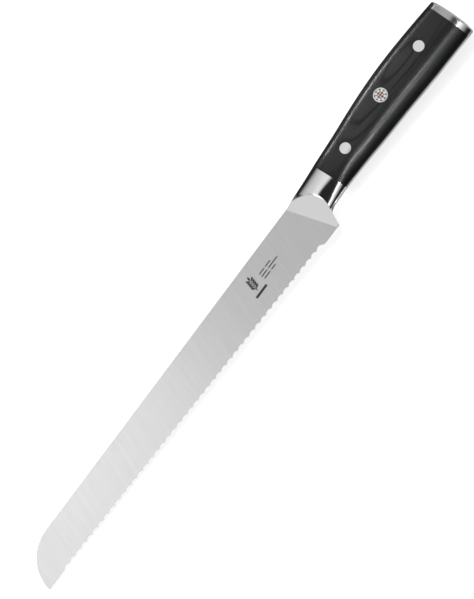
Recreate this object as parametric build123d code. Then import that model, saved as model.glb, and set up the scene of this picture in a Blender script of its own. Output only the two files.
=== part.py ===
"""A western bread knife: serrated blade and full tang in one blank, two bolster cheeks, two wood scales,
two cutler's rivets, one mosaic pin and an end cap. All lengths are millimetres.

The knife is drawn in a working frame: x runs from the blade's tip to the butt, y runs from the edge up to
the spine with y = 0 on the blade's spine, and z comes out of the knife's left side with z = 0 half-way
through the steel. The finished parts are then moved so that the knife lies on its right side with the
origin under the middle of its box.
"""

from build123d import *

import os
from math import atan, copysign, cos, degrees, pi, radians, sin, sqrt, tan

# ---- Blade ----
HEEL_X = 254.3  # from the tip to the heel, a ten inch blade
BLANK_THICKNESS = 2.4
HALF_BLANK = BLANK_THICKNESS / 2
NOSE_RADIUS = 24.4  # the spine drops to the tip on this arc
TIP_FLAT_Y = -22.1  # plain edge at the tip
HEEL_FLAT_Y = -28.9  # plain edge at the heel

# ---- Ground faces ----
GROUND_DEPTH_SPINE = 0.14  # how far the flat grind lies under the blank's face at the spine
GROUND_DEPTH_EDGE = 0.62  # and at the heel's edge
PLUNGE_X_SPINE = 243.3  # the grind stops on a line that slants back towards the edge
PLUNGE_X_EDGE = 252.4
PLUNGE_WALL_ANGLE = 50.0  # degrees that the stop's wall leans away from upright
GRIND_OVERRUN = 8.0  # how far the grinding tools run out past the blade
GRIND_TOOL_HEIGHT = 3.0

# ---- Serrations ----
SCALLOP_COUNT = 46
SCALLOP_PITCH = 4.92
SCALLOP_DEPTH = 1.2
SCALLOP_START_X = 13.8
TOOTH_LINE_START_Y = -22.17
TOOTH_LINE_SLOPE = -0.0272
TOOTH_LAND = 0.08  # the points are blunted by this much
SCALLOP_BEVEL = 25.0  # degrees between the scallop's bevel and the blade's plane
SCALLOP_TOOL_ABOVE = 1.0  # the cutting cone reaches this far above the left face
SCALLOP_TOOL_BELOW = 2.6  # and this far below it, past the right face
LAST_SCALLOP_TRIM = 0.25  # share of a pitch between the end of the tooth line and the last scallop's end
TIP_BEVEL_HEIGHT = 2.4  # height of the plain bevel at the tip

# ---- Back of the heel ----
HEEL_BACK_CORNER = (257.4, -21.4)
HEEL_BACK_END = (264.0, -19.6)
HEEL_BACK_RADIUS = 2.2
HEEL_BACK_CHAMFER = 0.5

# ---- Handle envelope: bolsters, scales and end cap are all ground to this one surface ----
# Each station is x, top y, bottom y, half width, y of the widest point.
ENVELOPE_STATIONS = [
    (244.0, -0.10, -20.60, 3.1, -10.8),
    (250.0, 0.64, -20.60, 4.0, -10.7),
    (256.0, 0.98, -20.45, 4.9, -10.5),
    (263.0, 1.40, -20.05, 5.95, -10.1),
    (272.3, 2.04, -19.78, 7.2, -9.1),
    (286.0, 2.95, -20.05, 8.05, -8.5),
    (300.0, 4.15, -20.68, 8.6, -7.6),
    (318.0, 5.60, -21.38, 8.95, -6.9),
    (336.0, 6.20, -22.13, 9.2, -6.5),
    (354.0, 5.80, -22.95, 9.32, -6.9),
    (368.0, 5.00, -23.30, 9.40, -7.5),
    (380.0, 4.15, -23.76, 9.45, -8.2),
    (390.0, 3.40, -24.15, 9.50, -8.8),
]
BLANK_JOIN_X = 245.0  # from here back the blank's rim follows this surface
SECTION_POINTS = 28
UPPER_EXPONENT = 3.5  # squarer shoulders above mid-height
LOWER_EXPONENT = 2.3  # rounder belly below it
FRONT_LOWER_EXPONENT = 4.0  # the belly at the bolster's front is squarer
FRONT_FALL = 0.30  # and its side slopes in towards the belly by this share of the half width
FRONT_SHAPE_X = 256.0  # the front shape holds up to here
FRONT_SHAPE_END_X = 281.0  # and has faded out here

# ---- Bolster ----
RECESS_CENTRE = (246.0, -13.2)
RECESS_RADIUS = 13.9
RECESS_WALL_LEAN = 8.0  # degrees that the wall between ricasso and bolster leans away from upright
JOINT_X = 272.2  # bolster to scale, measured at the joint's middle
JOINT_MIDDLE_Y = -8.7
JOINT_TILT = 4.0  # degrees that the joint leans forward at the spine

# ---- End cap ----
CAP_FRONT_X = 378.8
BUTT_X = 383.4
BUTT_CROWN_RADIUS = 240.0
BUTT_CROWN_Y = -14.0
BUTT_ROUNDING = 1.4
TENON_LENGTH = 3.0
TENON_HEIGHT = 10.0
TENON_Y = -9.6

# ---- Pins ----
FRONT_RIVET = (289.6, -8.0)
MOSAIC_PIN = (324.2, -6.1)
REAR_RIVET = (358.0, -6.9)
RIVET_HEAD_RADIUS = 3.2
RIVET_HEAD_DEPTH = 2.6  # below the widest part of the handle
RIVET_SLEEVE_RADIUS = 2.4
RIVET_SHANK_RADIUS = 1.6
RIVET_END_GAP = 0.6
MOSAIC_RADIUS = 4.1
MOSAIC_BORE_RADIUS = 3.45
STEEL_ROD_COUNT = 8
STEEL_ROD_RADIUS = 0.84
STEEL_ROD_CIRCLE = 2.58
COPPER_ROD_COUNT = 4
COPPER_ROD_RADIUS = 0.60
COPPER_ROD_CIRCLE = 1.05

REACH = 40.0  # longer than any cut has to be
TOUCHING = 0.001  # lengths closer than this count as equal


def ground_depth(y):
    """How far the flat grind lies under the blank's face at height y."""
    share = y / HEEL_FLAT_Y
    return GROUND_DEPTH_SPINE + (GROUND_DEPTH_EDGE - GROUND_DEPTH_SPINE) * share


def tooth_line_y(x):
    return TOOTH_LINE_START_Y + TOOTH_LINE_SLOPE * (x - SCALLOP_START_X)


# ---- The handle's outer surface ----


def superellipse_share(value, exponent):
    return copysign(abs(value) ** (2 / exponent), value)


def front_share(x):
    """1 at the bolster's front, fading smoothly to 0 in the wood."""
    run = min(1.0, max(0.0, (x - FRONT_SHAPE_X) / (FRONT_SHAPE_END_X - FRONT_SHAPE_X)))
    return (1 + cos(pi * run)) / 2


def envelope_section(x, top, bottom, half_width, widest_y):
    """One closed cross-section: two half superellipses that meet where the handle is widest."""
    lower_exponent = LOWER_EXPONENT + (FRONT_LOWER_EXPONENT - LOWER_EXPONENT) * front_share(x)
    fall = FRONT_FALL * front_share(x)
    points = []
    for step in range(SECTION_POINTS):
        turn = 2 * pi * step / SECTION_POINTS
        above = cos(turn) >= 0
        exponent = UPPER_EXPONENT if above else lower_exponent
        half_height = top - widest_y if above else widest_y - bottom
        height_share = superellipse_share(cos(turn), exponent)
        taper = 1 + fall * min(0.0, height_share)
        y = widest_y + half_height * height_share
        z = half_width * taper * superellipse_share(sin(turn), exponent)
        points.append((x, y, z))
    return Face(Wire([Spline(*points, periodic=True)]))


def handle_envelope():
    sections = [envelope_section(*station) for station in ENVELOPE_STATIONS]
    return loft(sections)


# ---- Cutting helpers ----


def block(x_range, y_range, z_range):
    """An axis-aligned box between three pairs of limits."""
    size = [high - low for low, high in (x_range, y_range, z_range)]
    middle = [(high + low) / 2 for low, high in (x_range, y_range, z_range)]
    return Pos(*middle) * Box(*size)


def behind_joint(x_limit):
    """Everything from the slanted bolster joint back to x_limit."""
    length = x_limit - JOINT_X + REACH
    slab = Box(length, 2 * REACH, 2 * REACH, align=(Align.MIN, Align.CENTER, Align.CENTER))
    slab = Pos(JOINT_X, JOINT_MIDDLE_Y, 0) * Rot(0, 0, JOINT_TILT) * slab
    return slab & block((0, x_limit), (-REACH, REACH), (-REACH, REACH))


def side_of_tang(side):
    """Everything on one side of the blank; side is +1 for left and -1 for right."""
    outer = side * REACH
    return block((0, BUTT_X + REACH), (-REACH, REACH), sorted((side * HALF_BLANK, outer)))


def pin_rod(place, radius, low=-REACH, high=REACH):
    """A round bar through the handle at place, from z = low to z = high."""
    bar = Cylinder(radius, high - low, align=(Align.CENTER, Align.CENTER, Align.MIN))
    return Pos(place[0], place[1], low) * bar


# ---- Blade and tang ----


def blade_outline():
    """The blade in side view, from the tip round the spine and the back of the heel."""
    drop = NOSE_RADIUS + TIP_FLAT_Y
    tip = (NOSE_RADIUS - sqrt(NOSE_RADIUS**2 - drop**2), TIP_FLAT_Y)
    nose_turn = pi / 4
    nose_middle = (NOSE_RADIUS * (1 - cos(nose_turn)), NOSE_RADIUS * (sin(nose_turn) - 1))
    spine_start = (NOSE_RADIUS, 0)
    spine_end = (BLANK_JOIN_X + BLANK_THICKNESS, 0)
    last_scallop_x = SCALLOP_START_X + (SCALLOP_COUNT - LAST_SCALLOP_TRIM) * SCALLOP_PITCH
    tooth_start = (SCALLOP_START_X, tooth_line_y(SCALLOP_START_X) + TOOTH_LAND)
    tooth_end = (last_scallop_x, tooth_line_y(last_scallop_x) + TOOTH_LAND)
    heel_front = (last_scallop_x, HEEL_FLAT_Y)
    heel = (HEEL_X, HEEL_FLAT_Y)
    nose = ThreePointArc(tip, nose_middle, spine_start)
    spine = Line(spine_start, spine_end)
    inside_bolster = Line(spine_end, HEEL_BACK_END)
    heel_back = FilletPolyline(HEEL_BACK_END, HEEL_BACK_CORNER, heel, radius=HEEL_BACK_RADIUS)
    edge = Polyline(heel, heel_front, tooth_end, tooth_start, tip)
    return make_face(nose + spine + inside_bolster + heel_back + edge)


def heel_back_edges(blade):
    """Both long edges of the heel's back, from the heel up to the fillet under the bolster."""
    chosen = []
    for edge in blade.edges():
        middle = edge.center()
        on_face = abs(abs(middle.Z) - HALF_BLANK) < TOUCHING
        behind_heel = HEEL_X < middle.X < HEEL_BACK_END[0]
        below_bolster = HEEL_FLAT_Y < middle.Y < HEEL_BACK_END[1]
        if on_face and behind_heel and below_bolster:
            chosen.append(edge)
    return chosen


def ground_face_cutter():
    """The metal that the flat grind takes off the left face, in front of the plunge line."""
    slope = (GROUND_DEPTH_EDGE - GROUND_DEPTH_SPINE) / HEEL_FLAT_Y
    tilt = degrees(atan(slope))
    lean = (PLUNGE_X_EDGE - PLUNGE_X_SPINE) / HEEL_FLAT_Y
    top = GRIND_OVERRUN
    low = HEEL_FLAT_Y - GRIND_OVERRUN
    region = Polygon(
        (-GRIND_OVERRUN, low),
        (PLUNGE_X_SPINE + lean * low, low),
        (PLUNGE_X_SPINE + lean * top, top),
        (-GRIND_OVERRUN, top),
        align=None,
    )
    cutter = extrude(region, amount=GRIND_TOOL_HEIGHT, taper=-PLUNGE_WALL_ANGLE)
    return Pos(0, 0, HALF_BLANK - GROUND_DEPTH_SPINE) * Rot(-tilt, 0, 0) * cutter


def scallop_cutter(index):
    """One cone that hollows a scallop: a round notch on the left face, a wide bevel on the right."""
    x = SCALLOP_START_X + (index + 0.5) * SCALLOP_PITCH
    half_pitch = SCALLOP_PITCH / 2
    radius = (half_pitch**2 + SCALLOP_DEPTH**2) / (2 * SCALLOP_DEPTH)
    line_y = tooth_line_y(x)
    centre_y = line_y - (radius - SCALLOP_DEPTH)
    face_z = HALF_BLANK - ground_depth(line_y)
    spread = 1 / tan(radians(SCALLOP_BEVEL))
    cone = Cone(
        radius + SCALLOP_TOOL_BELOW * spread,
        radius - SCALLOP_TOOL_ABOVE * spread,
        SCALLOP_TOOL_ABOVE + SCALLOP_TOOL_BELOW,
        align=(Align.CENTER, Align.CENTER, Align.MIN),
    )
    return Pos(x, centre_y, face_z - SCALLOP_TOOL_BELOW) * cone


def tip_bevel_cutter():
    """The plain bevel along the straight edge at the tip, ground from the right side."""
    face_z = HALF_BLANK - ground_depth(TIP_FLAT_Y)
    far_z = -GRIND_TOOL_HEIGHT
    rise = TIP_BEVEL_HEIGHT * (face_z - far_z) / (2 * face_z)
    section = Plane.YZ * Polygon(
        (TIP_FLAT_Y, face_z),
        (TIP_FLAT_Y + rise, far_z),
        (TIP_FLAT_Y - rise, far_z),
        (TIP_FLAT_Y - rise, face_z),
        align=None,
    )
    end_x = SCALLOP_START_X + SCALLOP_PITCH / 4
    return Pos(-GRIND_OVERRUN, 0, 0) * extrude(section, amount=end_x + GRIND_OVERRUN, dir=(1, 0, 0))


def tenon_block():
    """The tongue at the end of the tang, which fills the slot in the end cap."""
    return block(
        (CAP_FRONT_X - TENON_LENGTH, CAP_FRONT_X + TENON_LENGTH),
        (TENON_Y - TENON_HEIGHT / 2, TENON_Y + TENON_HEIGHT / 2),
        (-HALF_BLANK, HALF_BLANK),
    )


def blade_and_tang(envelope):
    outline = blade_outline()
    blade = extrude(outline, amount=HALF_BLANK, both=True)
    blade = chamfer(heel_back_edges(blade), HEEL_BACK_CHAMFER)
    core = block((BLANK_JOIN_X, CAP_FRONT_X), (-REACH, REACH), (-HALF_BLANK, HALF_BLANK))
    blank = blade + (envelope & core)
    blank += tenon_block()
    left_grind = ground_face_cutter()
    blank -= [left_grind, mirror(left_grind, about=Plane.XY)]
    blank -= tip_bevel_cutter()
    blank -= [scallop_cutter(index) for index in range(SCALLOP_COUNT)]
    blank -= [pin_rod(place, RIVET_SLEEVE_RADIUS) for place in (FRONT_RIVET, REAR_RIVET)]
    blank -= pin_rod(MOSAIC_PIN, MOSAIC_RADIUS)
    return blank


# ---- Bolster, scales and end cap ----


def recess_cutter():
    """A shallow cone with its small end on the ricasso: its rim leaves the bolster's curved front wall."""
    rim_radius = RECESS_RADIUS + REACH * tan(radians(RECESS_WALL_LEAN))
    tool = Cone(RECESS_RADIUS, rim_radius, REACH, align=(Align.CENTER, Align.CENTER, Align.MIN))
    return Pos(*RECESS_CENTRE, HALF_BLANK) * tool


def left_bolster(envelope):
    front = block((BLANK_JOIN_X, JOINT_X + REACH), (-REACH, REACH), (-REACH, REACH))
    cheek = (envelope & side_of_tang(+1) & front) - behind_joint(BUTT_X + REACH)
    return cheek - recess_cutter()


def scale(envelope, side):
    body = envelope & side_of_tang(side) & behind_joint(CAP_FRONT_X)
    for place in (FRONT_RIVET, REAR_RIVET):
        head_low = rivet_head_floor(place)
        body -= pin_rod(place, RIVET_SLEEVE_RADIUS)
        body -= pin_rod(place, RIVET_HEAD_RADIUS, *sorted((side * head_low, side * REACH)))
    return body - pin_rod(MOSAIC_PIN, MOSAIC_RADIUS)


def end_cap(envelope):
    crown = Cylinder(BUTT_CROWN_RADIUS, 2 * REACH)
    crown = Pos(BUTT_X - BUTT_CROWN_RADIUS, BUTT_CROWN_Y, 0) * crown
    cap = envelope & block((CAP_FRONT_X, BUTT_X + REACH), (-REACH, REACH), (-REACH, REACH)) & crown
    butt_face = cap.faces().sort_by(Axis.X)[-1]
    cap = fillet(butt_face.edges(), BUTT_ROUNDING)
    return cap - tenon_block()


# ---- Rivets and mosaic pin ----


def half_width_at(x):
    """The handle's half width at x, read between its stations."""
    for front, back in zip(ENVELOPE_STATIONS, ENVELOPE_STATIONS[1:]):
        if front[0] <= x <= back[0]:
            share = (x - front[0]) / (back[0] - front[0])
            return front[3] + share * (back[3] - front[3])
    return ENVELOPE_STATIONS[-1][3]


def rivet_head_floor(place):
    """Height above the mid-plane at which a rivet's head starts."""
    return half_width_at(place[0]) - RIVET_HEAD_DEPTH


def rivet_post(envelope, place):
    """The solid half: a head on the left and a shank pressed into the sleeve."""
    floor = rivet_head_floor(place)
    head = pin_rod(place, RIVET_HEAD_RADIUS, floor, REACH)
    shank = pin_rod(place, RIVET_SHANK_RADIUS, RIVET_END_GAP - floor, floor)
    return (head + shank) & envelope


def rivet_sleeve(envelope, place):
    """The hollow half: a head on the right and a tube that reaches the other head."""
    floor = rivet_head_floor(place)
    head = pin_rod(place, RIVET_HEAD_RADIUS, -REACH, -floor)
    tube = pin_rod(place, RIVET_SLEEVE_RADIUS, -floor, floor)
    bore = pin_rod(place, RIVET_SHANK_RADIUS, -floor, REACH)
    return (head + tube - bore) & envelope


def mosaic_tube(envelope):
    return (pin_rod(MOSAIC_PIN, MOSAIC_RADIUS) - pin_rod(MOSAIC_PIN, MOSAIC_BORE_RADIUS)) & envelope


def ring_of_rods(envelope, count, rod_radius, circle_radius):
    """Equal rods on a circle round the mosaic pin's axis, none of them on the horizontal."""
    rods = []
    for index in range(count):
        turn = 2 * pi * (index + 0.5) / count
        x = MOSAIC_PIN[0] + circle_radius * cos(turn)
        y = MOSAIC_PIN[1] + circle_radius * sin(turn)
        rods.append(pin_rod((x, y), rod_radius) & envelope)
    return rods


def mosaic_resin(envelope, rods):
    return (pin_rod(MOSAIC_PIN, MOSAIC_BORE_RADIUS) & envelope) - rods


# ---- Assembly ----


def build_parts():
    envelope = handle_envelope()
    bolster = left_bolster(envelope)
    steel_rods = ring_of_rods(envelope, STEEL_ROD_COUNT, STEEL_ROD_RADIUS, STEEL_ROD_CIRCLE)
    copper_rods = ring_of_rods(envelope, COPPER_ROD_COUNT, COPPER_ROD_RADIUS, COPPER_ROD_CIRCLE)
    return {
        "blade_and_tang": blade_and_tang(envelope),
        "left_bolster": bolster,
        "right_bolster": mirror(bolster, about=Plane.XY),
        "left_scale": scale(envelope, +1),
        "right_scale": scale(envelope, -1),
        "end_cap": end_cap(envelope),
        "front_rivet_post": rivet_post(envelope, FRONT_RIVET),
        "front_rivet_sleeve": rivet_sleeve(envelope, FRONT_RIVET),
        "rear_rivet_post": rivet_post(envelope, REAR_RIVET),
        "rear_rivet_sleeve": rivet_sleeve(envelope, REAR_RIVET),
        "mosaic_pin_tube": mosaic_tube(envelope),
        "mosaic_pin_steel_rods": Compound([rod.solid() for rod in steel_rods]),
        "mosaic_pin_copper_rods": Compound([rod.solid() for rod in copper_rods]),
        "mosaic_pin_resin": mosaic_resin(envelope, steel_rods + copper_rods),
    }


def row_frame_shift(parts):
    """The move that puts the origin under the middle of the whole knife's box."""
    boxes = [part.bounding_box() for part in parts.values()]
    low_x = min(box.min.X for box in boxes)
    high_x = max(box.max.X for box in boxes)
    low_y = min(box.min.Y for box in boxes)
    high_y = max(box.max.Y for box in boxes)
    low_z = min(box.min.Z for box in boxes)
    return Pos(-(low_x + high_x) / 2, -(low_y + high_y) / 2, -low_z)


def main():
    os.makedirs("parts", exist_ok=True)
    parts = build_parts()
    shift = row_frame_shift(parts)
    for name, part in parts.items():
        export_step(shift * part, f"parts/{name}.step")
    print("row frame shift", shift.position)


main()
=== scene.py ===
"""Looks for the bread knife: materials for its nodes, an etched mark, a pale floor, soft light and a camera.

Lengths are in metres, apart from the etched mark's in millimetres. They are in the row frame: +X from tip
to butt, +Y from edge to spine, +Z up out of the knife's left side. The knife lies on its right side.
"""

import math

import bpy
from mathutils import Matrix, Vector


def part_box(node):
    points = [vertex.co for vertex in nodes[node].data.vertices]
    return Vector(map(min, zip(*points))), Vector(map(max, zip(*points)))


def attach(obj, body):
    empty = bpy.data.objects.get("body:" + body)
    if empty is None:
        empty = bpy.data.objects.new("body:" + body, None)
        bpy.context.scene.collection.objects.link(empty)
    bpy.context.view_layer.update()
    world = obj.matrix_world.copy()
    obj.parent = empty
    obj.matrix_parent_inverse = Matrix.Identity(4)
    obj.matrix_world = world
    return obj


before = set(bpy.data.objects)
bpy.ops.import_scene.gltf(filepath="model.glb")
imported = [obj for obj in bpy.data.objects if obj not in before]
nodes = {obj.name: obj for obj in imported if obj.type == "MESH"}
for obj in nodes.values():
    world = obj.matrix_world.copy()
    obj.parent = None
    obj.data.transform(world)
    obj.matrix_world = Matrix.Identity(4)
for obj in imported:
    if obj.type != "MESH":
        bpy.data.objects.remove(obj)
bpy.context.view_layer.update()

MM = 0.001

# ---- Where the knife is, read from the frame ----
BLANK_LOW, BLANK_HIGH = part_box("blade_and_tang")
TIP_X = BLANK_LOW.x
BUTT_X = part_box("end_cap")[1].x
MID_Z = (BLANK_LOW.z + BLANK_HIGH.z) / 2
SPINE_BELOW_HUMP = 6.2 * MM  # the blade's spine lies this far under the handle's highest point
SPINE_Y = BLANK_HIGH.y - SPINE_BELOW_HUMP
PLUNGE_FROM_TIP = 243.2 * MM  # where the satin grind stops, at the spine
PLUNGE_LEAN = 9.1 / 28.9  # how far that line slants back for each step down from the spine
GRIP_MIDDLE_FROM_TIP = 322 * MM  # the grip's middle; the wood's colour is painted darker towards both ends from here, a painted shade

FACE_DEPTH_AT_SPINE = 1.06 * MM  # the ground face lies this far out from the knife's mid-plane
FACE_SLOPE = 0.0166  # and sinks by this much for each step down from the spine

# ---- Surfaces ----
SMOOTH_ANGLE = math.radians(24)  # faces that meet at less than this shade as one curve
NOISE_RANGE = (0.3, 0.7)  # nearly all of a noise's values lie between these
# The scale of a noise along each axis. A small number draws it out into strokes along that axis.
BLADE_STROKES = (9000, 160, 900)  # in the blade's frame turned to the plunge line
BLADE_CLOUDS = (700, 30, 60)
CAP_STROKES = (3000, 120, 120)
RIVET_STROKES = (60, 3000, 3000)
WOOD_WANDER = (14, 60, 60)
WOOD_FIBRES = (120, 2600, 2600)
WOOD_CLOUDS = (30, 90, 90)
PLUNGE_BLUR = 0.4 * MM  # the satin gives way to the polish over this width
STROKES_UNDER_POLISH = 0.03  # how much of the strokes' height the polish leaves
BLADE_GREYS = (0.49, 0.56)
RICASSO_GREY = 0.69
BOLSTER_GREYS = (0.76, 0.80)
CAP_GREY = 0.42
RIVET_GREY = 0.76
SATIN_ROUGHNESS = 0.2  # of the end cap, the rivets and the mosaic pin's steel
VENEER_PITCH = 1.15 * MM
VENEER_WANDER = 4.5 * MM  # how far the veneers wander from flat
VENEER_SLANT = 0.10  # their rise for each step towards the spine
VENEER_THINNESS = 4.0  # a higher power leaves a thinner dark line between them
LINE_STRENGTH = 0.9
FIBRE_STRENGTH = 0.5
END_SHADE_RANGE = (20 * MM, 52 * MM)  # the painted shade towards the wood's ends starts and ends this far from the grip's middle
# how far the painted shade darkens the wood's colour at its ends
END_SHADE_STRENGTH = 0.55
WOOD_DARK = (0.028, 0.028, 0.029, 1)
WOOD_LIGHT = (0.062, 0.062, 0.064, 1)
WOOD_LINE = (0.003, 0.003, 0.003, 1)
# colour of the painted shade at both ends of the wood
WOOD_PAINTED_SHADE = (0.012, 0.012, 0.013, 1)
COPPER_COLOURS = [(0.74, 0.44, 0.38, 1), (0.86, 0.58, 0.51, 1)]
RESIN_COLOURS = [(0.012, 0.010, 0.010, 1), (0.05, 0.03, 0.028, 1)]
ETCH_GREYS = (0.012, 0.045)

# ---- Etched mark: a generic wheat ear with plain bars, in millimetres from its lower front corner ----
MARK_FROM_TIP = 195.2 * MM
MARK_BELOW_SPINE = 17.3 * MM
MARK_LIFT = 0.012 * MM
MARK_THICKNESS = 0.02 * MM
EAR_FOOT = (3.7, 2.8)
EAR_HEIGHT = 8.0
STEM_WIDTH = 0.55
EAR_LEAN = math.radians(76.0)  # from the blade's length up towards the spine
GRAIN_PAIRS = 4
GRAIN_PITCH = 1.55
GRAIN_LENGTH = 3.1
GRAIN_WIDTH = 1.25
GRAIN_SPREAD = math.radians(46.0)
TOP_PAIR_DROP = 0.7 * GRAIN_LENGTH  # from the stem's top down to the uppermost pair of grains
GRAIN_POINTS = 7  # along each side of a grain
UNDERLINE = (0.0, 9.2, -0.1, 1.3)  # left, right, low and high
DASH_ROWS = [  # middle height, then the left and right end of each dash
    (3.6, (11.2, 16.4), (17.5, 21.0)),
    (5.5, (11.0, 16.0), (17.0, 25.0)),
    (7.4, (11.2, 15.6), (16.6, 21.0)),
]
DASH_HEIGHT = 0.62

# ---- Camera ----
VIEW_TILT = math.radians(16.0)  # the camera leans towards the edge by this much
VIEW_ROLL = math.radians(53.13)  # the knife's axis rises at this angle across the picture
VIEW_HEIGHT = 328.3 * MM  # height of the picture at the knife
VIEW_FROM_TIP = 188.15 * MM  # the picture's middle, along the knife
VIEW_BELOW_SPINE = 7.75 * MM  # and across it
CAMERA_DISTANCE = 1.6
SENSOR_SIZE = 36.0
CLIP_END = 50

# ---- Studio ----
# Softboxes all along the knife. Each is seen over a range of directions round the knife's long axis, in
# degrees from straight up, positive towards the spine: it fades in, stays full and fades out.
SOFTBOXES = [  # fade in from, full from, full to, faded out by, level
    (1, 8, 16, 60, 0.9),  # main one, over the spine's side
    (-80, -40, -35, -25, 1.1),  # beside the edge
    (-172, -158, -152, -125, 0.9),  # low behind the edge
    (95, 160, 170, 179, 0.18),  # bounce from below the spine
]
BETWEEN_LEVEL = 0.02  # brightness between the softboxes, as in the gap round the camera
BACKDROP_COLOUR = (0.93, 0.93, 0.93, 1.0)
END_LEVEL = 0.95  # brightness of the surroundings beyond the tip and beyond the butt
END_EDGE = (0.40, 0.47)  # how far a direction leans either way before it sees them
AMBIENT_LEVEL = 0.12  # brightness of the surroundings as diffuse light from all sides
KNIFE_AXIS_BELOW_SPINE = 10 * MM  # the lights are placed round this line
FILL_OFFSET = Vector((0, 0.10, 0.37))  # from the tip, at the spine
FILL_TARGET_BEHIND_TIP = 0.02
FILL_SIZE = (0.28, 0.18)
FILL_POWER = 0.165
KEY_DEGREES = 35
KEY_DISTANCE = 1.6
KEY_X = 0.05
KEY_SIZE = (1.2, 0.9)
KEY_POWER = 11.0
STRIP_DISTANCE = 0.9
STRIPS = [  # name, then x and degrees of the front end and of the back end, width and power
    ("belly_strip", (0.00, -39), (0.19, -21), 0.07, 3.4),
    ("spine_strip", (0.08, 53), (0.22, 53), 0.13, 2.6),
]
FLOOR_SIZE = 12.0
FLOOR_GREY = 0.86
FLOOR_GLOW = 0.76  # keeps the sheet pale behind the knife, as an evenly lit one is
HANDLE_CONTACT_FROM_BUTT = 20 * MM  # the handle touches the floor here
TIP_HALF_THICKNESS = 0.6 * MM


# ---- Node helpers ----

# The Mix node has a socket for each kind of value. These are the places of those for colours.
MIX_FACTOR = 0
MIX_FIRST_COLOUR = 6
MIX_SECOND_COLOUR = 7
MIX_COLOUR_OUT = 2


class Graph:
    """A material's or the world's node tree, with short calls for the nodes used here."""

    def __init__(self, owner):
        owner.use_nodes = True
        self.tree = owner.node_tree
        self.tree.nodes.clear()

    def add(self, kind, **settings):
        node = self.tree.nodes.new(kind)
        for name, value in settings.items():
            setattr(node, name, value)
        return node

    def join(self, output, socket):
        self.tree.links.new(output, socket)

    def feed(self, socket, value):
        """Links value if it is an output, or else sets the socket to it."""
        if isinstance(value, bpy.types.NodeSocket):
            self.join(value, socket)
        else:
            socket.default_value = value

    def math(self, operation, first, second=0.0, third=0.0):
        node = self.add("ShaderNodeMath", operation=operation)
        for socket, value in zip(node.inputs, (first, second, third)):
            self.feed(socket, value)
        return node.outputs[0]

    def position(self):
        return self.add("ShaderNodeTexCoord").outputs["Object"]

    def split(self, vector):
        node = self.add("ShaderNodeSeparateXYZ")
        self.join(vector, node.inputs[0])
        return node.outputs

    def mapped(self, vector, scale, turn=(0, 0, 0)):
        """The vector turned, then stretched."""
        turned = self.add("ShaderNodeMapping")
        turned.inputs["Rotation"].default_value = turn
        self.join(vector, turned.inputs["Vector"])
        stretched = self.add("ShaderNodeMapping")
        stretched.inputs["Scale"].default_value = scale
        self.join(turned.outputs[0], stretched.inputs["Vector"])
        return stretched.outputs[0]

    def noise(self, vector, scale=1.0, detail=2.0, roughness=0.5):
        node = self.add("ShaderNodeTexNoise")
        self.join(vector, node.inputs["Vector"])
        node.inputs["Scale"].default_value = scale
        node.inputs["Detail"].default_value = detail
        node.inputs["Roughness"].default_value = roughness
        return node.outputs[0]

    def remap(self, value, low, high, to_low, to_high, smooth=False):
        """Turns low into to_low and high into to_high, and holds still beyond them."""
        node = self.add("ShaderNodeMapRange")
        if smooth:
            node.interpolation_type = "SMOOTHSTEP"
        self.feed(node.inputs["Value"], value)
        node.inputs["From Min"].default_value = low
        node.inputs["From Max"].default_value = high
        self.feed(node.inputs["To Min"], to_low)
        self.feed(node.inputs["To Max"], to_high)
        return node.outputs[0]

    def mix(self, factor, first, second):
        """A mix of two colours: the first at factor 0, the second at factor 1."""
        node = self.add("ShaderNodeMix", data_type="RGBA")
        self.feed(node.inputs[MIX_FACTOR], factor)
        self.feed(node.inputs[MIX_FIRST_COLOUR], first)
        self.feed(node.inputs[MIX_SECOND_COLOUR], second)
        return node.outputs[MIX_COLOUR_OUT]

    def bump(self, height, strength, distance):
        node = self.add("ShaderNodeBump")
        node.inputs["Strength"].default_value = strength
        node.inputs["Distance"].default_value = distance
        self.join(height, node.inputs["Height"])
        return node.outputs[0]

    def surface(self, **inputs):
        """A Principled BSDF on the output; names use underscores for spaces."""
        shader = self.add("ShaderNodeBsdfPrincipled")
        for name, value in inputs.items():
            self.feed(shader.inputs[name.replace("_", " ")], value)
        output = self.add("ShaderNodeOutputMaterial")
        self.join(shader.outputs[0], output.inputs["Surface"])


def grey(value):
    return (value, value, value, 1.0)


# ---- Materials ----


def blade_material():
    """Satin in front of the plunge line, polished on the ricasso, with fine strokes across the blade."""
    material = bpy.data.materials.new("blade_steel")
    graph = Graph(material)
    place = graph.position()
    x, y, _ = graph.split(place)
    plunge_at_zero_y = TIP_X + PLUNGE_FROM_TIP + SPINE_Y * PLUNGE_LEAN
    plunge_x = graph.math("MULTIPLY_ADD", y, -PLUNGE_LEAN, plunge_at_zero_y)
    behind = graph.math("SUBTRACT", x, plunge_x)
    polished = graph.remap(behind, 0.0, PLUNGE_BLUR, 0.0, 1.0)
    stroke_turn = (0, 0, math.atan(PLUNGE_LEAN))
    strokes = graph.noise(graph.mapped(place, BLADE_STROKES, stroke_turn), detail=4.0, roughness=0.65)
    clouds = graph.noise(graph.mapped(place, BLADE_CLOUDS, stroke_turn), detail=3.0)
    satin_roughness = graph.remap(strokes, *NOISE_RANGE, 0.27, 0.40)
    roughness = graph.remap(polished, 0.0, 1.0, satin_roughness, 0.09)
    satin = graph.mix(clouds, *map(grey, BLADE_GREYS))
    colour = graph.mix(polished, satin, grey(RICASSO_GREY))
    fade = graph.remap(polished, 0.0, 1.0, 1.0, STROKES_UNDER_POLISH)
    height = graph.math("MULTIPLY", strokes, fade)
    graph.surface(
        Base_Color=colour,
        Metallic=1.0,
        Roughness=roughness,
        Normal=graph.bump(height, 0.25, 0.03 * MM),
    )
    return material


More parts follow.
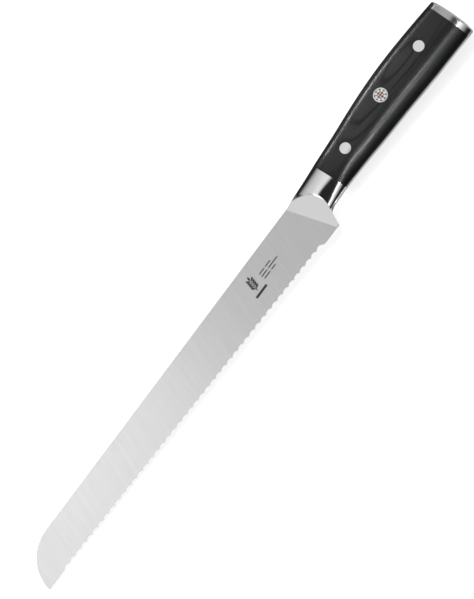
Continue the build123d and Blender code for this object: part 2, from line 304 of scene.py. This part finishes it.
def polished_material():
    """Mirror-polished steel with the faint haze of buffing."""
    material = bpy.data.materials.new("polished_steel")
    graph = Graph(material)
    haze = graph.noise(graph.position(), scale=260.0, detail=5.0, roughness=0.6)
    graph.surface(
        Base_Color=graph.mix(haze, *map(grey, BOLSTER_GREYS)),
        Metallic=1.0,
        Roughness=graph.remap(haze, *NOISE_RANGE, 0.06, 0.10),
    )
    return material


def satin_material(name, level, stroke_scale):
    """Steel with a fine satin finish; level is its middle grey."""
    material = bpy.data.materials.new(name)
    graph = Graph(material)
    strokes = graph.noise(graph.mapped(graph.position(), stroke_scale), detail=4.0, roughness=0.6)
    low_roughness = SATIN_ROUGHNESS * 0.85
    high_roughness = SATIN_ROUGHNESS * 1.2
    graph.surface(
        Base_Color=graph.mix(strokes, grey(level * 0.95), grey(level * 1.05)),
        Metallic=1.0,
        Roughness=graph.remap(strokes, *NOISE_RANGE, low_roughness, high_roughness),
        Normal=graph.bump(strokes, 0.15, 0.02 * MM),
    )
    return material


def copper_material():
    """Copper with faint stains."""
    material = bpy.data.materials.new("copper")
    graph = Graph(material)
    stain = graph.noise(graph.position(), scale=2500.0, detail=3.0)
    graph.surface(
        Base_Color=graph.mix(stain, *COPPER_COLOURS),
        Metallic=1.0,
        Roughness=graph.remap(stain, *NOISE_RANGE, 0.18, 0.30),
    )
    return material


def resin_material():
    """Nearly black resin with brown specks."""
    material = bpy.data.materials.new("dark_resin")
    graph = Graph(material)
    speck = graph.noise(graph.position(), scale=4000.0, detail=2.0)
    graph.surface(
        Base_Color=graph.mix(speck, *RESIN_COLOURS),
        Roughness=0.25,
        IOR=1.5,
    )
    return material


def wood_material():
    """Black laminated wood: thin veneers stacked through the handle, cut into contours by its curve."""
    material = bpy.data.materials.new("black_wood")
    graph = Graph(material)
    place = graph.position()
    x, y, z = graph.split(place)
    wander = graph.noise(graph.mapped(place, WOOD_WANDER), detail=2.0, roughness=0.5)
    shifted = graph.math("MULTIPLY_ADD", wander, VENEER_WANDER, z)
    slanted = graph.math("MULTIPLY_ADD", y, VENEER_SLANT, shifted)
    phase = graph.math("MULTIPLY", slanted, 2 * math.pi / VENEER_PITCH)
    wave = graph.math("SINE", phase)
    veneer = graph.remap(wave, -1.0, 1.0, 0.0, 1.0)
    lines = graph.math("POWER", veneer, VENEER_THINNESS)
    fibres = graph.noise(graph.mapped(place, WOOD_FIBRES), detail=4.0, roughness=0.6)
    clouds = graph.noise(graph.mapped(place, WOOD_CLOUDS), detail=3.0)
    base = graph.mix(clouds, WOOD_DARK, WOOD_LIGHT)
    grained = graph.mix(graph.math("MULTIPLY", lines, LINE_STRENGTH), base, WOOD_LINE)
    shown_fibres = graph.remap(fibres, 0.45, 0.75, 0.0, FIBRE_STRENGTH)
    fibred = graph.mix(shown_fibres, grained, WOOD_LIGHT)
    # Painted shade: the wood's colour darkens towards both ends of the grip
    from_middle = graph.math("ABSOLUTE", graph.math("SUBTRACT", x, TIP_X + GRIP_MIDDLE_FROM_TIP))
    painted_end_shade = graph.remap(from_middle, *END_SHADE_RANGE, 0.0, END_SHADE_STRENGTH, smooth=True)
    colour = graph.mix(painted_end_shade, fibred, WOOD_PAINTED_SHADE)
    roughness = graph.remap(graph.math("ADD", fibres, lines), 0.3, 1.5, 0.24, 0.36)
    height = graph.math("MULTIPLY_ADD", lines, -0.5, fibres)
    graph.surface(
        Base_Color=colour,
        Roughness=roughness,
        Specular_IOR_Level=0.25,
        Normal=graph.bump(height, 0.12, 0.03 * MM),
    )
    return material


def etch_material():
    """The dark oxide that an electrolytic etch leaves."""
    material = bpy.data.materials.new("etched_steel")
    graph = Graph(material)
    mottle = graph.noise(graph.position(), scale=1800.0, detail=3.0)
    graph.surface(
        Base_Color=graph.mix(mottle, *map(grey, ETCH_GREYS)),
        Metallic=0.2,
        Roughness=0.55,
    )
    return material


def paint(node_names, material):
    for name in node_names:
        mesh = nodes[name].data
        mesh.materials.clear()
        mesh.materials.append(material)


def dress_nodes():
    paint(["blade_and_tang"], blade_material())
    paint(["left_bolster", "right_bolster"], polished_material())
    paint(["left_scale", "right_scale"], wood_material())
    paint(["end_cap"], satin_material("cap_steel", CAP_GREY, CAP_STROKES))
    rivets = ["front_rivet_post", "front_rivet_sleeve", "rear_rivet_post", "rear_rivet_sleeve"]
    rivets += ["mosaic_pin_tube", "mosaic_pin_steel_rods"]
    paint(rivets, satin_material("rivet_steel", RIVET_GREY, RIVET_STROKES))
    paint(["mosaic_pin_copper_rods"], copper_material())
    paint(["mosaic_pin_resin"], resin_material())


def smooth_nodes():
    """Curved faces shade smoothly and real corners stay sharp."""
    for node in nodes.values():
        bpy.context.view_layer.objects.active = node
        node.select_set(True)
        bpy.ops.object.shade_smooth_by_angle(angle=SMOOTH_ANGLE)
        node.select_set(False)


# ---- Etched mark ----


def grain_outline(foot, direction):
    """A pointed oval that starts at foot and runs in the direction."""
    along = Vector((math.cos(direction), math.sin(direction)))
    across = Vector((-along.y, along.x))
    right = []
    left = []
    for index in range(GRAIN_POINTS):
        share = index / (GRAIN_POINTS - 1)
        middle = foot + along * GRAIN_LENGTH * share
        half = across * GRAIN_WIDTH / 2 * math.sin(math.pi * share)
        right.append(middle - half)
        left.append(middle + half)
    return right + left[-2:0:-1]


def bar_outline(left, right, low, high):
    """The corners of a plain upright rectangle."""
    return [Vector((left, low)), Vector((right, low)), Vector((right, high)), Vector((left, high))]


def ear_outlines():
    """A stem that narrows to half its width, pairs of grains up its sides and one more at its top."""
    foot = Vector(EAR_FOOT)
    along = Vector((math.cos(EAR_LEAN), math.sin(EAR_LEAN)))
    across = Vector((-along.y, along.x)) * STEM_WIDTH / 2
    top = foot + along * EAR_HEIGHT
    outlines = [[foot - across, top - across / 2, top + across / 2, foot + across]]
    for index in range(GRAIN_PAIRS):
        joint = foot + along * (EAR_HEIGHT - TOP_PAIR_DROP - index * GRAIN_PITCH)
        for side in (-1, 1):
            root = joint + across * side
            outlines.append(grain_outline(root, EAR_LEAN + side * GRAIN_SPREAD))
    outlines.append(grain_outline(foot + along * (EAR_HEIGHT - GRAIN_LENGTH / 2), EAR_LEAN))
    return outlines


def mark_point(point, lift):
    """A point of the mark, given in millimetres on the blade's left face."""
    below_spine = MARK_BELOW_SPINE - point.y * MM
    z = MID_Z + FACE_DEPTH_AT_SPINE - FACE_SLOPE * below_spine + lift
    return (TIP_X + MARK_FROM_TIP + point.x * MM, SPINE_Y - below_spine, z)


def build_mark():
    """Thin dark flakes on the left face, where a maker's etch would be."""
    outlines = ear_outlines() + [bar_outline(*UNDERLINE)]
    for middle, *spans in DASH_ROWS:
        for left, right in spans:
            outlines.append(bar_outline(left, right, middle - DASH_HEIGHT / 2, middle + DASH_HEIGHT / 2))
    points = []
    faces = []
    for outline in outlines:
        count = len(outline)
        low = len(points)
        high = low + count
        points += [mark_point(point, MARK_LIFT) for point in outline]
        points += [mark_point(point, MARK_LIFT + MARK_THICKNESS) for point in outline]
        faces.append(list(range(high - 1, low - 1, -1)))
        faces.append(list(range(high, high + count)))
        for index in range(count):
            after = (index + 1) % count
            faces.append([low + index, low + after, high + after, high + index])
    mesh = bpy.data.meshes.new("etched_mark")
    mesh.from_pydata(points, [], faces)
    mesh.materials.append(etch_material())
    mark = bpy.data.objects.new("etched_mark", mesh)
    bpy.context.scene.collection.objects.link(mark)
    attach(mark, "root")


# ---- Studio ----


def build_world():
    """What polished faces reflect, the weaker light that matt ones get and the backdrop."""
    world = bpy.data.worlds.new("studio")
    bpy.context.scene.world = world
    graph = Graph(world)
    direction = graph.add("ShaderNodeTexCoord").outputs["Generated"]
    x, y, z = graph.split(direction)
    degrees = graph.math("MULTIPLY", graph.math("ARCTAN2", y, z), math.degrees(1))
    level = BETWEEN_LEVEL
    for begin, full_from, full_to, end, brightness in SOFTBOXES:
        rising = graph.remap(degrees, begin, full_from, 0.0, brightness)
        falling = graph.remap(degrees, full_to, end, brightness, 0.0)
        level = graph.math("ADD", graph.math("MINIMUM", rising, falling), level)
    endward = graph.remap(graph.math("ABSOLUTE", x), *END_EDGE, 0.0, 1.0, smooth=True)
    reflected = graph.mix(endward, level, grey(END_LEVEL))
    path = graph.add("ShaderNodeLightPath").outputs
    lit_colour = graph.mix(path["Is Diffuse Ray"], reflected, grey(AMBIENT_LEVEL))
    lit = graph.add("ShaderNodeBackground")
    graph.join(lit_colour, lit.inputs["Color"])
    seen = graph.add("ShaderNodeBackground")
    seen.inputs["Color"].default_value = BACKDROP_COLOUR
    chosen = graph.add("ShaderNodeMixShader")
    graph.join(path["Is Camera Ray"], chosen.inputs[0])
    graph.join(lit.outputs[0], chosen.inputs[1])
    graph.join(seen.outputs[0], chosen.inputs[2])
    output = graph.add("ShaderNodeOutputWorld")
    graph.join(chosen.outputs[0], output.inputs["Surface"])


def floor_material():
    material = bpy.data.materials.new("floor_paper")
    graph = Graph(material)
    graph.surface(
        Base_Color=grey(FLOOR_GREY),
        Roughness=0.9,
        Emission_Color=(1, 1, 1, 1),
        Emission_Strength=FLOOR_GLOW,
    )
    return material


def build_floor():
    """A pale sheet that touches the tip and the handle, so that the knife rests on both."""
    handle_contact = Vector((BUTT_X - HANDLE_CONTACT_FROM_BUTT, 0, 0))
    tip_contact = Vector((TIP_X, 0, MID_Z - TIP_HALF_THICKNESS))
    slope = math.atan2(tip_contact.z - handle_contact.z, handle_contact.x - tip_contact.x)
    mesh = bpy.data.meshes.new("floor")
    half = FLOOR_SIZE / 2
    corners = [(-half, -half, 0), (half, -half, 0), (half, half, 0), (-half, half, 0)]
    mesh.from_pydata(corners, [], [(0, 1, 2, 3)])
    floor = bpy.data.objects.new("floor", mesh)
    bpy.context.scene.collection.objects.link(floor)
    mesh.materials.append(floor_material())
    floor.matrix_world = Matrix.Translation(handle_contact) @ Matrix.Rotation(slope, 4, "Y")
    floor.visible_glossy = False
    floor.visible_diffuse = False


def area_light(name, place, target, size, power):
    """A rectangular lamp that faces the target and doesn't show itself to the camera."""
    light = bpy.data.lights.new(name, "AREA")
    light.shape = "RECTANGLE"
    light.size, light.size_y = size
    light.energy = power
    lamp = bpy.data.objects.new(name, light)
    bpy.context.scene.collection.objects.link(lamp)
    lamp.location = place
    lamp.rotation_euler = (Vector(target) - Vector(place)).to_track_quat("-Z", "Y").to_euler()
    lamp.visible_camera = False
    return lamp


def around(degrees, distance, x):
    """A point at that distance from the knife's axis; degrees count from straight up towards the spine."""
    turn = math.radians(degrees)
    y = SPINE_Y - KNIFE_AXIS_BELOW_SPINE + distance * math.sin(turn)
    return Vector((x, y, MID_Z + distance * math.cos(turn)))


def strip_light(name, front, back, width, power):
    """A narrow tube over the knife, between two (x, degrees) ends, that shows only as a highlight."""
    ends = [around(degrees, STRIP_DISTANCE, x) for x, degrees in (front, back)]
    middle = (ends[0] + ends[1]) / 2
    along = (ends[1] - ends[0]).normalized()
    away = middle - around(0, 0, middle.x)
    away = (away - along * away.dot(along)).normalized()
    light = area_light(name, middle, (0, 0, 0), ((ends[1] - ends[0]).length, width), power)
    pose = Matrix((along, away.cross(along), away)).transposed().to_4x4()
    pose.translation = middle
    light.matrix_world = pose
    light.visible_diffuse = False


def build_lights():
    tip = Vector((TIP_X, SPINE_Y, MID_Z))
    fill_target = tip + Vector((FILL_TARGET_BEHIND_TIP, 0, 0))
    area_light("tip_fill", tip + FILL_OFFSET, fill_target, FILL_SIZE, FILL_POWER)
    key_place = around(KEY_DEGREES, KEY_DISTANCE, KEY_X)
    key = area_light("key", key_place, (0, 0, 0), KEY_SIZE, KEY_POWER)
    key.visible_glossy = False
    for strip in STRIPS:
        strip_light(*strip)


def build_camera():
    toward = Vector((0, -math.sin(VIEW_TILT), math.cos(VIEW_TILT)))
    across = Vector((0, math.cos(VIEW_TILT), math.sin(VIEW_TILT)))
    along = Vector((1, 0, 0))
    right = along * math.cos(VIEW_ROLL) - across * math.sin(VIEW_ROLL)
    up = along * math.sin(VIEW_ROLL) + across * math.cos(VIEW_ROLL)
    target = Vector((TIP_X + VIEW_FROM_TIP, SPINE_Y, MID_Z)) - across * VIEW_BELOW_SPINE
    data = bpy.data.cameras.new("camera")
    data.sensor_width = SENSOR_SIZE
    data.lens = SENSOR_SIZE * CAMERA_DISTANCE / VIEW_HEIGHT
    data.clip_end = CLIP_END
    camera = bpy.data.objects.new("camera", data)
    bpy.context.scene.collection.objects.link(camera)
    pose = Matrix((right, up, toward)).transposed().to_4x4()
    pose.translation = target + toward * CAMERA_DISTANCE
    camera.matrix_world = pose
    bpy.context.scene.camera = camera


def build_studio():
    build_world()
    build_floor()
    build_lights()
    build_camera()
    bpy.context.scene.view_settings.view_transform = "Standard"


dress_nodes()
smooth_nodes()
build_mark()
build_studio()
